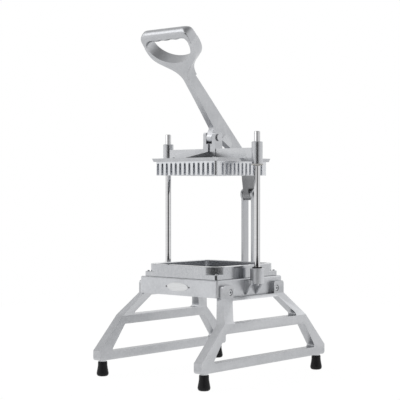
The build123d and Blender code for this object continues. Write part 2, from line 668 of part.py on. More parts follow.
def grip_band():
    """D shaped band that flares out of the shank, before the bar closes it."""
    half = LEVER_THICKNESS / 2
    root = -GRIP_ARM
    top = BAR_PLACE + BAR_RADIUS
    flank = Spline((half, root), *BAND_FLARE, (GRIP_HALF, GRIP_SIDE), tangents=[(0, 1), (0, 1)])
    side = Line((GRIP_HALF, GRIP_SIDE), (GRIP_HALF, top - GRIP_SHOULDER))
    shoulder = TangentArc(
        (GRIP_HALF, top - GRIP_SHOULDER), (GRIP_HALF - GRIP_SHOULDER, top), tangent=(0, 1)
    )
    right = flank + side + shoulder
    roof = Line((GRIP_HALF - GRIP_SHOULDER, top), (GRIP_SHOULDER - GRIP_HALF, top))
    floor = Line((-half, root), (half, root))
    outer = make_face(right + roof + mirror(right, Plane.YZ) + floor)
    inner_half = GRIP_HALF - GRIP_ARM
    middle = OPENING_BOTTOM + OPENING_HEIGHT
    opening = Pos(0, middle) * Ellipse(inner_half, OPENING_HEIGHT)
    opening += Pos(0, (middle + BAR_PLACE) / 2) * Rectangle(2 * inner_half, BAR_PLACE - middle)
    above = Pos(0, (BAR_PLACE + top) / 2) * Rectangle(2 * (GRIP_HALF - GRIP_SHOULDER), BAR_RADIUS)
    return outer - opening - above


def handle():
    """Lever casting with its D grip, bored at the pivot and at the tail."""
    half = LEVER_THICKNESS / 2
    lever = extrude(side_plane(-half) * lever_side(), LEVER_THICKNESS)
    lever += crossways(TAIL, TAIL_EYE, -TAIL_EYE_WIDTH / 2, TAIL_EYE_WIDTH / 2)
    pad = lever_side() & Pos(*PAD_PLACE) * Circle(PAD_RADIUS)
    lever += extrude(side_plane(-half - PAD_RAISE) * pad, LEVER_THICKNESS + 2 * PAD_RAISE)
    band = extrude(grip_plane() * grip_band(), GRIP_DEPTH / 2, both=True)
    bar_half = GRIP_HALF - GRIP_ARM / 2
    bar = crossways(grip_point(BAR_PLACE, 0), BAR_RADIUS, -bar_half, bar_half)
    lever += band + (bar - grip_grooves())
    lever -= crossways(PIVOT, bush_outer() + SEAT_GAP, -half, half)
    return lever - crossways(TAIL, bush_outer() + SEAT_GAP, -TAIL_EYE_WIDTH / 2, TAIL_EYE_WIDTH / 2)


def grip_grooves():
    """Shallow scallops for the fingers on the underside of the bar."""
    centre = BAR_PLACE - BAR_RADIUS - GROOVE_RADIUS + GROOVE_DEPTH
    places = [GROOVE_PITCH * (i - (GROOVES - 1) / 2) for i in range(GROOVES)]
    circle = Circle(GROOVE_RADIUS)
    return [extrude(grip_plane() * Pos(x, centre) * circle, GRIP_DEPTH, both=True) for x in places]


def bush_outer():
    return PIN_RADIUS + SLIDE_GAP + BUSH_WALL


def plain_bush(point, half):
    tube = crossways(point, bush_outer(), -half, half)
    return tube - crossways(point, PIN_RADIUS + SLIDE_GAP, -half, half)


def link_bar(side):
    """Flat strap with rounded ends between the base lug and the lever's tail."""
    low, high = sorted((side * STRAP_INNER, side * (STRAP_INNER + STRAP_THICKNESS)))
    half = STRAP_WIDTH / 2
    y, z = LINK_FOOT
    top_y, top_z = TAIL
    strap = profile([(y - half, z), (y + half, z), (top_y + half, top_z), (top_y - half, top_z)], low, high)
    strap += crossways(LINK_FOOT, STRAP_END, low, high) + crossways(TAIL, STRAP_END, low, high)
    strap -= crossways(LINK_FOOT, bush_outer() + SEAT_GAP, low, high)
    return strap - crossways(TAIL, PIN_RADIUS + SEAT_GAP, low, high)


def link_foot_bushes():
    bushes = []
    for side in (-1, 1):
        low, high = sorted((side * STRAP_INNER, side * (STRAP_INNER + STRAP_THICKNESS)))
        bush = crossways(LINK_FOOT, bush_outer(), low, high)
        bushes.append(bush - crossways(LINK_FOOT, PIN_RADIUS + SLIDE_GAP, low, high))
    return bushes


def link_top_bolts():
    """Headed bolt through the top of each strap, ending flush with its inner face."""
    bolts = []
    for side in (-1, 1):
        inner = side * STRAP_INNER
        outer = side * (STRAP_INNER + STRAP_THICKNESS)
        shank = crossways(TAIL, PIN_RADIUS, *sorted((inner, outer)))
        head = crossways(TAIL, PIN_HEAD, *sorted((outer, outer + side * PIN_HEAD_THICKNESS)))
        bolts.append(shank + head)
    return bolts


def write(name, shape):
    solids = shape if isinstance(shape, list) else [shape]
    export_step(Compound(children=[s for item in solids for s in item.solids()]), f"parts/{name}.step")


def main():
    os.makedirs("parts", exist_ok=True)
    strap_reach = STRAP_INNER + STRAP_THICKNESS + FREE_GAP
    nodes = {
        "base_frame": base_frame(),
        "leg_frame_bolts": leg_frame_bolts(),
        "leg_frame_nuts": leg_frame_nuts(),
        "foot_front_left": foot(-FOOT_X, -FOOT_Y),
        "foot_front_right": foot(FOOT_X, -FOOT_Y),
        "foot_rear_left": foot(-FOOT_X, FOOT_Y),
        "foot_rear_right": foot(FOOT_X, FOOT_Y),
        "foot_studs": foot_studs(),
        "rod_retaining_screws": rod_retaining_screws(),
        "feed_collar": feed_collar(),
        "blade_frame": blade_frame(),
        "upper_blades": upper_blades(),
        "lower_blades": lower_blades(),
        "collar_screws": collar_screws(),
        "link_foot_pin": headed_pin(LINK_FOOT, strap_reach),
        "link_foot_clip": pin_clip(LINK_FOOT, strap_reach),
        "pusher_yoke": pusher_yoke(),
        "finger_block": finger_block(),
        "finger_block_screws": finger_block_screws(),
        "handle_pivot_pin": headed_pin(PIVOT, ear_reach()),
        "handle_pivot_clip": pin_clip(PIVOT, ear_reach()),
        "handle": handle(),
        "handle_pivot_bush": plain_bush(PIVOT, LEVER_THICKNESS / 2),
        "tail_bush": plain_bush(TAIL, TAIL_EYE_WIDTH / 2),
        "link_foot_bushes": link_foot_bushes(),
        "link_top_bolts": link_top_bolts(),
    }
    for suffix, build in (
        ("leg_frame", leg_frame),
        ("guide_rod", guide_rod),
        ("rod_bumper", rod_bumper),
        ("slide_bushing", slide_bushing),
        ("link_bar", link_bar),
    ):
        for side_name, piece in both_sides(build).items():
            nodes[f"{side_name}_{suffix}"] = piece
    for name, shape in nodes.items():
        write(name, shape)


main()
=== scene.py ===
import json
import math

import bmesh
import bpy
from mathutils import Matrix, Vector


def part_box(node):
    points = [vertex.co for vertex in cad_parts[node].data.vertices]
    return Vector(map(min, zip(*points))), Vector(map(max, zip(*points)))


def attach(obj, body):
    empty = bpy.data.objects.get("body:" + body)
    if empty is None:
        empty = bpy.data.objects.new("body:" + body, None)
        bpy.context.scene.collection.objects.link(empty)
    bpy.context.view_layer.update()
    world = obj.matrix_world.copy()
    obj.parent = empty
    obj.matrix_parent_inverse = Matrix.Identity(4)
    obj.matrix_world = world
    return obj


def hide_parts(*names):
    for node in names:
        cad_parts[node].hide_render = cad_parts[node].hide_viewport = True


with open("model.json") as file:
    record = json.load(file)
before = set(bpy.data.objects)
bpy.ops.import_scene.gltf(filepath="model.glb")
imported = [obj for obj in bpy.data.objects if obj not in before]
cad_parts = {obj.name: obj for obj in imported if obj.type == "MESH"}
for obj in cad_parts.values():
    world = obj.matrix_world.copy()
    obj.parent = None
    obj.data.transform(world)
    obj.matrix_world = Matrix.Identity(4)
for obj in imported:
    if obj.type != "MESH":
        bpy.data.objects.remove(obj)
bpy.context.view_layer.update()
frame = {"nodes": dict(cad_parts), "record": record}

MM = 0.001
NODES = frame["nodes"]
BODY_OF = {n: b for b, members in frame["record"]["behaviour"]["bodies"].items() for n in members}

# Camera, as the photograph has it
CAMERA_PLACE = Vector((1.660, -1.930, 0.390))
CAMERA_TURN = 41.24
CAMERA_DIP = 0.51
CAMERA_LENS = 107.7

# Studio: a pale room under a dim ceiling, with an unlit stretch on the front right corner's side
DARK_SIDE = Vector((0.66, -0.75, 0.0))
DARK_EDGE = (0.38, 0.46)
DARK_NARROWER = 0.49
ROOM_DARK = 0.03
CEILING_SIDE = Vector((-0.8, 0.6, 0.0))
CEILING_DIM = 0.28
CEILING_PALE = 0.60
ROOM_SIDE = Vector((-0.72, -0.68, 0.12))
ROOM_FAR = 0.90
ROOM_BRIGHT = 0.96
AMBIENT = 0.95
FLOOR_RADIUS = 1.6
FLOOR_WHITE = 0.95
FLOOR_GLOW = 1.03
FLOOR_IN_METAL = 0.90

# Finishes, as linear colours
CAST_DARK = (0.50, 0.51, 0.53)
CAST_LIGHT = (0.60, 0.61, 0.63)
CAST_WORN = (0.74, 0.75, 0.77)
# Painted shadow: share of brightness left on the lever's tail, which hangs behind the pusher
TAIL_PAINTED_SHADOW = 0.42
CAST_GRAIN = 1100.0
CAST_MOTTLE = 26.0
ROD_COLOUR = (0.74, 0.74, 0.75)
ROD_ROUGHNESS = 0.06
STEEL_COLOUR = (0.62, 0.63, 0.65)
STRAP_COLOUR = (0.55, 0.56, 0.58)
BLADE_COLOUR = (0.66, 0.67, 0.69)
RUBBER_COLOUR = (0.006, 0.006, 0.007)
RUBBER_DUST = (0.018, 0.018, 0.020)
RIVET_COLOUR = (0.16, 0.16, 0.17)
PLASTIC_COLOUR = (0.62, 0.61, 0.57)
PLATE_COLOUR = (0.78, 0.79, 0.80)

# Castings' soft edges
CAST_EDGE = 1.0 * MM
SHARP_ANGLE = math.radians(30.0)

# Oval plate on the base's front, with its rivets
OVAL_HALF_WIDTH = 29.0 * MM
OVAL_HALF_HEIGHT = 9.6 * MM
OVAL_HEIGHT = 189.0 * MM
OVAL_THICKNESS = 1.0 * MM
OVAL_RIM = 1.0 * MM
RIVET_PLACE = 31.5 * MM
RIVET_RADIUS = 1.7 * MM
RIVET_HEIGHT = 0.9 * MM

# Finger block's slots, narrower and arched at their closed top
PITCH = 12.7 * MM
SLOTS_ACROSS = 13
SLOTS_DEEP = 11
SLOT_FOOT = 6.7 * MM
SLOT_NECK = 5.4 * MM
SLOT_ROOF = 2.4 * MM
BLOCK_CORNER = 7.0 * MM

# D grip: its slope, and the outlines of its rounded corner seen square on, outside and inside
GRIP_ROOT = Vector((0.0, -70.0, 627.0)) * MM
GRIP_SLOPE = math.radians(132.0)
GRIP_CUT = 86.0 * MM
GRIP_HALF = 64.5 * MM
GRIP_ARM = 7.5 * MM
GRIP_SHOULDER = 14.0 * MM
GRIP_INSIDE_CORNER = 5.0 * MM
GRIP_DEPTH_HALF = 13.4 * MM
BAR_PLACE = 105.5 * MM
BAR_RADIUS = 12.5 * MM
BAR_END = 46.0 * MM
GROOVES = 4
GROOVE_PITCH = 26.0 * MM
GROOVE_RADIUS = 30.0 * MM
GROOVE_DEPTH = 1.6 * MM
CORNER_STEPS = 16
BAR_STEPS = 52

# Turned pieces
ROUND_STEPS = 40
SOCKET_ACROSS = 2.4 * MM
SOCKET_DEPTH = 2.0 * MM
FOOT_EDGE = 2.0 * MM


class Wire:
    """A socket of a node tree. Sums and products of wires add Math nodes to the tree."""

    def __init__(self, tree, socket=None):
        self.tree = tree
        self.socket = socket

    def node(self, kind, settings=None, sockets=None, output=0):
        """Any node: its settings, then its sockets' values or links, by name or number."""
        made = self.tree.nodes.new(kind)
        for name, value in (settings or {}).items():
            if name == "stops":
                set_stops(made.color_ramp, value)
            else:
                setattr(made, name, value)
        for name, value in (sockets or {}).items():
            if isinstance(value, Wire):
                self.tree.links.new(value.socket, made.inputs[name])
            else:
                made.inputs[name].default_value = value
        return Wire(self.tree, made.outputs[output] if made.outputs else None)

    def math(self, operation, *values):
        return self.node("ShaderNodeMath", {"operation": operation}, dict(enumerate(values)))

    def __add__(self, other):
        return self.math("ADD", self, other)

    __radd__ = __add__

    def __sub__(self, other):
        return self.math("SUBTRACT", self, other)

    def __rsub__(self, other):
        return self.math("SUBTRACT", other, self)

    def __mul__(self, other):
        return self.math("MULTIPLY", self, other)

    __rmul__ = __mul__

    def __pow__(self, other):
        return self.math("POWER", self, other)


def set_stops(ramp, stops):
    while len(ramp.elements) < len(stops):
        ramp.elements.new(0.5)
    for element, (place, tone) in zip(ramp.elements, stops):
        element.position = place
        element.color = (tone, tone, tone, 1.0)


def new_tree(name):
    """A material of this name, and a wire into its emptied tree."""
    material = bpy.data.materials.new(name)
    material.use_nodes = True
    material.node_tree.nodes.clear()
    return material, Wire(material.node_tree)


def rgba(colour):
    return (*colour, 1.0)


def place_on(wire, stretch=(1.0, 1.0, 1.0)):
    """The surface's own place, with each direction drawn out by its own factor."""
    place = wire.node("ShaderNodeTexCoord", output="Object")
    return wire.node("ShaderNodeMapping", {}, {"Vector": place, "Scale": stretch})


def cloud(wire, place, scale, detail=2.0, rough=0.5):
    """Soft random pattern from 0 to 1, of so many lumps to the metre."""
    sockets = {"Vector": place, "Scale": scale, "Detail": detail, "Roughness": rough}
    return wire.node("ShaderNodeTexNoise", {}, sockets)


def ramp(wire, value, *stops):
    return wire.node("ShaderNodeValToRGB", {"stops": stops}, {"Fac": value})


def between(wire, share, low, high):
    """A colour from low to high by the share."""
    sockets = {0: share, 6: low, 7: high}
    return wire.node("ShaderNodeMix", {"data_type": "RGBA"}, sockets, output=2)


def bumped(wire, height, strength, depth):
    sockets = {"Strength": strength, "Distance": depth, "Height": height}
    return wire.node("ShaderNodeBump", {}, sockets)


def finish_with(wire, shader):
    wire.node("ShaderNodeOutputMaterial", {}, {"Surface": shader})


def principled(wire, sockets):
    return wire.node("ShaderNodeBsdfPrincipled", {}, sockets)


def cast_aluminium(name, painted_light_level, rough):
    """Satin casting: fine grain, cloudy tone, and edges rubbed a little brighter."""
    material, wire = new_tree(name)
    place = place_on(wire)
    mottle = cloud(wire, place, CAST_MOTTLE, 4.0, 0.6)
    grain = cloud(wire, place, CAST_GRAIN, 2.0, 0.6)
    skin = cloud(wire, place, 210.0, 3.0, 0.5)
    worn = wire.node("ShaderNodeNewGeometry", output="Pointiness")
    edge = ramp(wire, worn, (0.52, 0.0), (0.60, 1.0))
    tone = ramp(wire, 0.6 * mottle + 0.4 * skin, (0.34, 0.0), (0.66, 1.0))
    # The brightness factor is painted light and shade: one aluminium made lighter or darker per part to
    # match how light falls on it
    low, high = (rgba([painted_light_level * c for c in colour]) for colour in (CAST_DARK, CAST_LIGHT))
    body = between(wire, tone, low, high)
    # On the lever, a painted shadow darkens the tail, darker towards the bottom
    if name == "cast_lever":
        body = between(wire, lever_painted_shadow(wire, place), rgba((0.0, 0.0, 0.0)), body)
    colour = between(wire, 0.35 * edge, body, rgba(CAST_WORN))
    roughness = rough - 0.05 + 0.12 * mottle - 0.06 * edge
    normal = bumped(wire, grain + 0.6 * skin, 0.30, 0.00005)
    sockets = {"Base Color": colour, "Metallic": 0.92, "Roughness": roughness, "Normal": normal}
    finish_with(wire, principled(wire, sockets))
    return material


def lever_painted_shadow(wire, place):
    """Painted shadow by height: the lever darkened below where its tail hangs behind the pusher."""
    height = wire.node("ShaderNodeSeparateXYZ", {}, {0: place}, output="Z")
    return ramp(wire, 10.0 * height - 4.1, (0.0, TAIL_PAINTED_SHADOW), (0.65, 1.0))


def turned_steel(name, colour, roughness, stretch, depth):
    """Bright metal with fine tool lines drawn out along one direction."""
    material, wire = new_tree(name)
    place = place_on(wire, stretch)
    lines = cloud(wire, place, 1.0, 3.0, 0.7)
    smear = cloud(wire, place_on(wire), 45.0, 2.0)
    dark = tuple(0.86 * c for c in colour)
    tint = between(wire, ramp(wire, lines, (0.35, 0.0), (0.65, 1.0)), rgba(dark), rgba(colour))
    rough = roughness + 0.10 * (lines - 0.5) + 0.06 * (smear - 0.5)
    sockets = {
        "Base Color": tint,
        "Metallic": 1.0,
        "Roughness": rough,
        "Normal": bumped(wire, lines, 0.25, depth),
    }
    finish_with(wire, principled(wire, sockets))
    return material


def black_rubber():
    """Moulded rubber, a little grey with dust in its pores."""
    material, wire = new_tree("black_rubber")
    place = place_on(wire)
    pores = cloud(wire, place, 900.0, 2.0)
    dust = cloud(wire, place, 60.0, 3.0)
    colour = between(wire, 0.5 * dust, rgba(RUBBER_COLOUR), rgba(RUBBER_DUST))
    sockets = {
        "Base Color": colour,
        "Roughness": 0.34 + 0.16 * dust,
        "Normal": bumped(wire, pores, 0.2, 0.00006),
        "Specular IOR Level": 0.22,
    }
    finish_with(wire, principled(wire, sockets))
    return material


def bush_plastic():
    """Pale turned plastic."""
    material, wire = new_tree("bush_plastic")
    place = place_on(wire)
    grain = cloud(wire, place, 500.0, 2.0)
    cloudy = cloud(wire, place, 90.0, 2.0)
    colour = between(wire, cloudy, rgba(PLASTIC_COLOUR), rgba((0.70, 0.69, 0.66)))
    sockets = {
        "Base Color": colour,
        "Roughness": 0.42 + 0.12 * grain,
        "Normal": bumped(wire, grain, 0.2, 0.00006),
    }
    finish_with(wire, principled(wire, sockets))
    return material


FINISHES = {
    # The castings' brightness factors are painted light and shade, set per part to match how light falls
    # on each
    "cast_aluminium": cast_aluminium("cast_aluminium", 1.0, 0.28),
    "cast_base": cast_aluminium("cast_base", 1.13, 0.38),
    "cast_legs": cast_aluminium("cast_legs", 0.92, 0.34),
    "cast_lever": cast_aluminium("cast_lever", 1.0, 0.30),
    "cast_collar": cast_aluminium("cast_collar", 0.98, 0.16),
    "cast_fingers": cast_aluminium("cast_fingers", 1.38, 0.30),
    "polished_rod": turned_steel("polished_rod", ROD_COLOUR, ROD_ROUGHNESS, (30, 30, 900), 0.0000004),
    "bright_steel": turned_steel("bright_steel", STEEL_COLOUR, 0.26, (900, 500, 500), 0.00003),
    "brushed_strap": turned_steel("brushed_strap", STRAP_COLOUR, 0.34, (1500, 1500, 25), 0.00005),
    "blade_steel": turned_steel("blade_steel", BLADE_COLOUR, 0.24, (120, 120, 1500), 0.00003),
    "black_rubber": black_rubber(),
    "bush_plastic": bush_plastic(),
    "oval_plate": turned_steel("oval_plate", PLATE_COLOUR, 0.30, (60, 1400, 1400), 0.00002),
    "rivet": turned_steel("rivet", RIVET_COLOUR, 0.35, (900, 900, 900), 0.00002),
}


CASTINGS = {
    "base_frame": "cast_base",
    "left_leg_frame": "cast_legs",
    "right_leg_frame": "cast_legs",
    "feed_collar": "cast_collar",
    "pusher_yoke": "cast_aluminium",
}


def paint_frame():
    """Each CAD node gets the finish of its own slot."""
    for part in frame["record"]["subparts"]:
        mesh = NODES[part["node"]].data
        mesh.materials.clear()
        mesh.materials.append(FINISHES[part["material_slot"]])


def new_piece(name, mesh, finish, body, stands_for=()):
    """A finished mesh as an object that rides on a body."""
    piece = bpy.data.objects.new(name, mesh)
    bpy.context.scene.collection.objects.link(piece)
    if not mesh.materials:
        mesh.materials.append(FINISHES[finish])
    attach(piece, body)
    if stands_for:
        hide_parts(*stands_for)
    return piece


def close_mesh(name, shape):
    """The worked shape as a mesh, its normals outward and its gentle edges smooth."""
    bmesh.ops.recalc_face_normals(shape, faces=shape.faces)
    for edge in shape.edges:
        edge.smooth = len(edge.link_faces) == 2 and edge.calc_face_angle() < SHARP_ANGLE
    for face in shape.faces:
        face.smooth = True
    mesh = bpy.data.meshes.new(name)
    shape.to_mesh(mesh)
    shape.free()
    return mesh


def merged_copy(node, edge_width, remake=None):
    """A CAD node's mesh as one skin: flat faces free of inner edges, outer corners marked to soften."""
    shape = bmesh.new()
    shape.from_mesh(NODES[node].data)
    bmesh.ops.remove_doubles(shape, verts=shape.verts, dist=0.005 * MM)
    added = remake(shape) if remake else set()
    old_faces = [face for face in shape.faces if face not in added]
    old_edges = list({edge for face in old_faces for edge in face.edges})
    old_verts = list({vert for face in old_faces for vert in face.verts})
    bmesh.ops.dissolve_limit(
        shape, angle_limit=math.radians(0.6), verts=old_verts, edges=old_edges
    )
    weight = shape.edges.layers.float.new("bevel_weight_edge")
    for edge in shape.edges:
        if len(edge.link_faces) != 2 or edge.calc_face_angle() < SHARP_ANGLE:
            continue
        if added.intersection(edge.link_faces):
            continue
        if edge.is_convex and edge.calc_length() > 2 * edge_width:
            edge[weight] = 1.0
    return close_mesh(node + "_soft", shape)


def soften(node, finish, remake=None, width=CAST_EDGE, steps=2):
    """A casting's CAD shape with its outer corners rounded over."""
    mesh = merged_copy(node, width, remake)
    piece = new_piece(node + "_cast", mesh, finish, BODY_OF[node], [node])
    round_over = piece.modifiers.new("rounded corners", "BEVEL")
    round_over.width = width
    round_over.segments = steps
    round_over.limit_method = "WEIGHT"
    round_over.use_clamp_overlap = True
    even = piece.modifiers.new("even shading", "WEIGHTED_NORMAL")
    even.keep_sharp = True
    return piece


def on_grip(x, along, off=0.0):
    """A place on the grip: across, along its slope from the root, and off its middle plane."""
    slope = Vector((0.0, math.cos(GRIP_SLOPE), math.sin(GRIP_SLOPE)))
    square = Vector((0.0, -math.sin(GRIP_SLOPE), math.cos(GRIP_SLOPE)))
    return GRIP_ROOT + Vector((x, 0.0, 0.0)) + along * slope + off * square


def along_bend(share, x, low, radius, level, end):
    """A place along a line that rises at x, bends inward by a radius and runs level to its end."""
    rise = level - radius - low
    bend = radius * math.pi / 2
    run = x - radius - end
    way = share * (rise + bend + run)
    if way < rise:
        return Vector((x, low + way))
    if way < rise + bend:
        turn = (way - rise) / radius
        return Vector((x - radius + radius * math.cos(turn), level - radius + radius * math.sin(turn)))
    return Vector((x - radius - (way - rise - bend), level))


def scallop(x):
    """Depth of the finger grooves under the bar at a place across."""
    near = min(abs(x - GROOVE_PITCH * (i - (GROOVES - 1) / 2)) for i in range(GROOVES))
    return max(0.0, GROOVE_DEPTH - near * near / (2 * GROOVE_RADIUS))


def grip_stations():
    """Outside place, inside place, half depth and squareness along the corner, the bar and back."""
    level = BAR_PLACE + BAR_RADIUS
    under = BAR_PLACE - BAR_RADIUS
    inside = GRIP_HALF - GRIP_ARM
    corner = []
    for i in range(CORNER_STEPS):
        share = i / CORNER_STEPS
        outer = along_bend(share, GRIP_HALF, GRIP_CUT, GRIP_SHOULDER, level, BAR_END)
        inner = along_bend(share, inside, GRIP_CUT, GRIP_INSIDE_CORNER, under, BAR_END)
        blend = min(1.0, max(0.0, (share - 0.1) / 0.75))
        blend = blend * blend * (3 - 2 * blend)
        depth = GRIP_DEPTH_HALF + (BAR_RADIUS - GRIP_DEPTH_HALF) * blend
        corner.append((outer, inner, depth, 9.0 - 7.0 * blend))
    bar = []
    for i in range(BAR_STEPS + 1):
        x = BAR_END * (1 - 2 * i / BAR_STEPS)
        bar.append((Vector((x, level)), Vector((x, under + scallop(x))), BAR_RADIUS, 2.0))
    flip = Vector((-1.0, 1.0))
    back = [(outer * flip, inner * flip, depth, square) for outer, inner, depth, square in corner]
    return corner + bar + back[::-1]


def grip_section(shape, outer, inner, depth, square):
    """A closed loop round the grip, from a rounded oblong on its arms to a circle on its bar."""
    middle, reach = (outer + inner) / 2, (outer - inner) / 2
    loop = []
    for i in range(ROUND_STEPS):
        turn = 2 * math.pi * i / ROUND_STEPS
        along, off = math.cos(turn), math.sin(turn)
        along = math.copysign(abs(along) ** (2 / square), along)
        off = math.copysign(abs(off) ** (2 / square), off)
        spot = middle + along * reach
        loop.append(shape.verts.new(on_grip(spot.x, spot.y, off * depth)))
    return loop


def remake_grip(shape):
    """Takes the grip's top off the lever and gives it a bar that runs smoothly into the arms."""
    parts = list(shape.verts) + list(shape.edges) + list(shape.faces)
    slope = on_grip(0.0, 1.0) - on_grip(0.0, 0.0)
    cut = bmesh.ops.bisect_plane(
        shape, geom=parts, plane_co=on_grip(0.0, GRIP_CUT), plane_no=slope, clear_outer=True
    )
    open_edges = [part for part in cut["geom_cut"] if isinstance(part, bmesh.types.BMEdge)]
    before = set(shape.faces)
    bmesh.ops.holes_fill(shape, edges=open_edges, sides=0)
    loops = [grip_section(shape, *station) for station in grip_stations()]
    for low, high in zip(loops, loops[1:]):
        join_loops(shape, low, high)
    shape.faces.new(loops[0])
    shape.faces.new(loops[-1])
    return set(shape.faces) - before


def ring_of(shape, radius, place, spoke=None):
    """A loop of points round the Z axis at a height, or one point where the radius is nothing."""
    if radius == 0.0:
        return [shape.verts.new((0.0, 0.0, place))]
    loop = []
    for i in range(ROUND_STEPS):
        turn = 2 * math.pi * i / ROUND_STEPS
        reach = spoke(turn) if spoke else radius
        loop.append(shape.verts.new((reach * math.cos(turn), reach * math.sin(turn), place)))
    return loop


def join_loops(shape, low, high):
    """Faces between two loops, either of which may be a single point."""
    count = max(len(low), len(high))
    for i in range(count):
        j = (i + 1) % count
        corners = [low[i % len(low)], low[j % len(low)], high[j % len(high)], high[i % len(high)]]
        shape.faces.new(list(dict.fromkeys(corners)))


def turned(name, outline, along="Z"):
    """A solid turned from (radius, height) points, its axis laid along Z, X or -Y."""
    shape = bmesh.new()
    loops = [ring_of(shape, radius, place, *rest) for radius, place, *rest in outline]
    for low, high in zip(loops, loops[1:]):
        join_loops(shape, low, high)
    if outline[0][0] > 0.0 and outline[-1][0] > 0.0:
        join_loops(shape, loops[-1], loops[0])
    for vert in shape.verts:
        x, y, z = vert.co
        vert.co = {"Z": (x, y, z), "X": (z, x, y), "-Y": (x, -z, y)}[along]
    return close_mesh(name, shape)


def hexagon(across):
    """Distance from the middle to the side of a hexagon, by direction."""
    step = math.pi / 3

    def reach(turn):
        off = (turn + step / 2) % step - step / 2
        return across / math.cos(off)

    return reach


def group_inputs(tree, kinds):
    for name, kind in kinds.items():
        tree.interface.new_socket(name=name, in_out="INPUT", socket_type=kind)
    tree.interface.new_socket(name="Geometry", in_out="OUTPUT", socket_type="NodeSocketGeometry")


def group_input(wire, name):
    return wire.node("NodeGroupInput", output=name)


def made_of_nodes(name, mesh, tree, values):
    """The plain mesh that a tree of geometry nodes makes of a mesh, its inputs set first."""
    source = bpy.data.objects.new(name + "_source", mesh)
    bpy.context.scene.collection.objects.link(source)
    work = source.modifiers.new("nodes", "NODES")
    work.node_group = tree
    for item in tree.interface.items_tree:
        if item.in_out == "INPUT" and item.name in values:
            work[item.identifier] = values[item.name]
    graph = bpy.context.evaluated_depsgraph_get()
    made = bpy.data.meshes.new_from_object(source.evaluated_get(graph))
    made.name = name
    bpy.data.objects.remove(source)
    return made


def repeat_tree():
    """Sets the incoming piece at the points of a grid, turned to face outward where asked."""
    tree = bpy.data.node_groups.new("repeat on a grid", "GeometryNodeTree")
    kinds = {
        "Geometry": "NodeSocketGeometry",
        "Width": "NodeSocketFloat",
        "Depth": "NodeSocketFloat",
        "Across": "NodeSocketInt",
        "Back": "NodeSocketInt",
        "Middle": "NodeSocketVector",
        "Half Turn": "NodeSocketFloat",
        "Material": "NodeSocketMaterial",
    }
    group_inputs(tree, kinds)
    wire = Wire(tree)
    size = {
        "Size X": group_input(wire, "Width"),
        "Size Y": group_input(wire, "Depth"),
        "Vertices X": group_input(wire, "Across"),
        "Vertices Y": group_input(wire, "Back"),
    }
    grid = wire.node("GeometryNodeMeshGrid", {}, size)
    middle = group_input(wire, "Middle")
    grid = wire.node("GeometryNodeTransform", {}, {"Geometry": grid, "Translation": middle})
    place = wire.node("GeometryNodeInputPosition")
    left = place.math("LESS_THAN", side_of(wire, place), 0.0)
    turn = wire.node("ShaderNodeCombineXYZ", {}, {"Z": left * group_input(wire, "Half Turn")})
    spots = {"Points": grid, "Instance": group_input(wire, "Geometry"), "Rotation": turn}
    return finish_tree(tree, wire, wire.node("GeometryNodeInstanceOnPoints", {}, spots))


def side_of(wire, place):
    return wire.node("ShaderNodeSeparateXYZ", {}, {0: place}, output="X")


def finish_tree(tree, wire, shape):
    """Makes the instances real, sets the material, and closes the tree."""
    real = wire.node("GeometryNodeRealizeInstances", {}, {"Geometry": shape})
    material = group_input(wire, "Material")
    painted = wire.node("GeometryNodeSetMaterial", {}, {"Geometry": real, "Material": material})
    wire.node("NodeGroupOutput", {}, {"Geometry": painted})
    return tree


REPEAT = repeat_tree()


def repeated(name, unit, finish, body, stands_for, width, depth, across, back, middle, half_turn=0.0):
    """One piece made of a unit set at a grid's points."""
    values = {
        "Width": width,
        "Depth": depth,
        "Across": across,
        "Back": back,
        "Middle": middle,
        "Half Turn": half_turn,
        "Material": FINISHES[finish],
    }
    mesh = made_of_nodes(name, unit, REPEAT, values)
    return new_piece(name, mesh, finish, body, stands_for)


def corners(node):
    low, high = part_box(node)
    return Vector(low), Vector(high)


def rubber_feet():
    """Four tapered tips with a rounded foot, a soft neck and a dimple round the stud."""
    low, high = corners("foot_front_left")
    radius, top = (high.x - low.x) / 2, high.z
    neck = radius * 0.775
    bore = 4.05 * MM
    outline = [
        (0.0, 0.0),
        (radius - 4.6 * MM, 0.0),
        (radius - 2.4 * MM, 0.7 * MM),
        (radius - 0.9 * MM, 2.2 * MM),
        (radius - 0.15 * MM, 4.4 * MM),
        (radius, 6.4 * MM),
        (radius - 0.5 * MM, 9.2 * MM),
        (neck + 0.9 * MM, 17.0 * MM),
        (neck + 0.1 * MM, 22.5 * MM),
        (neck, top - 1.8 * MM),
        (neck - 0.5 * MM, top - 0.5 * MM),
        (neck - 1.8 * MM, top),
        (bore, top),
        (bore, top - 6.0 * MM),
        (0.0, top - 6.0 * MM),
    ]
    names = ["foot_front_left", "foot_front_right", "foot_rear_left", "foot_rear_right"]
    middle = (low + high) / 2
    unit = turned("rubber_foot", outline)
    return repeated(
        "rubber_feet", unit, "black_rubber", "base", names, -2 * middle.x, -2 * middle.y, 2, 2, (0, 0, 0)
    )


def guide_rods():
    """Two ground rods with a turned-down edge at the top."""
    low, high = corners("right_guide_rod")
    radius = (high.x - low.x) / 2
    outline = [
        (0.0, low.z),
        (radius, low.z),
        (radius, high.z - 1.4 * MM),
        (radius - 0.25 * MM, high.z - 0.7 * MM),
        (radius - 0.9 * MM, high.z - 0.12 * MM),
        (radius - 1.5 * MM, high.z),
        (0.0, high.z),
    ]
    unit = turned("guide_rod", outline)
    names = ["left_guide_rod", "right_guide_rod"]
    return repeated(
        "guide_rods", unit, "polished_rod", "base", names, low.x + high.x, 0.0, 2, 1, (0, 0, 0)
    )


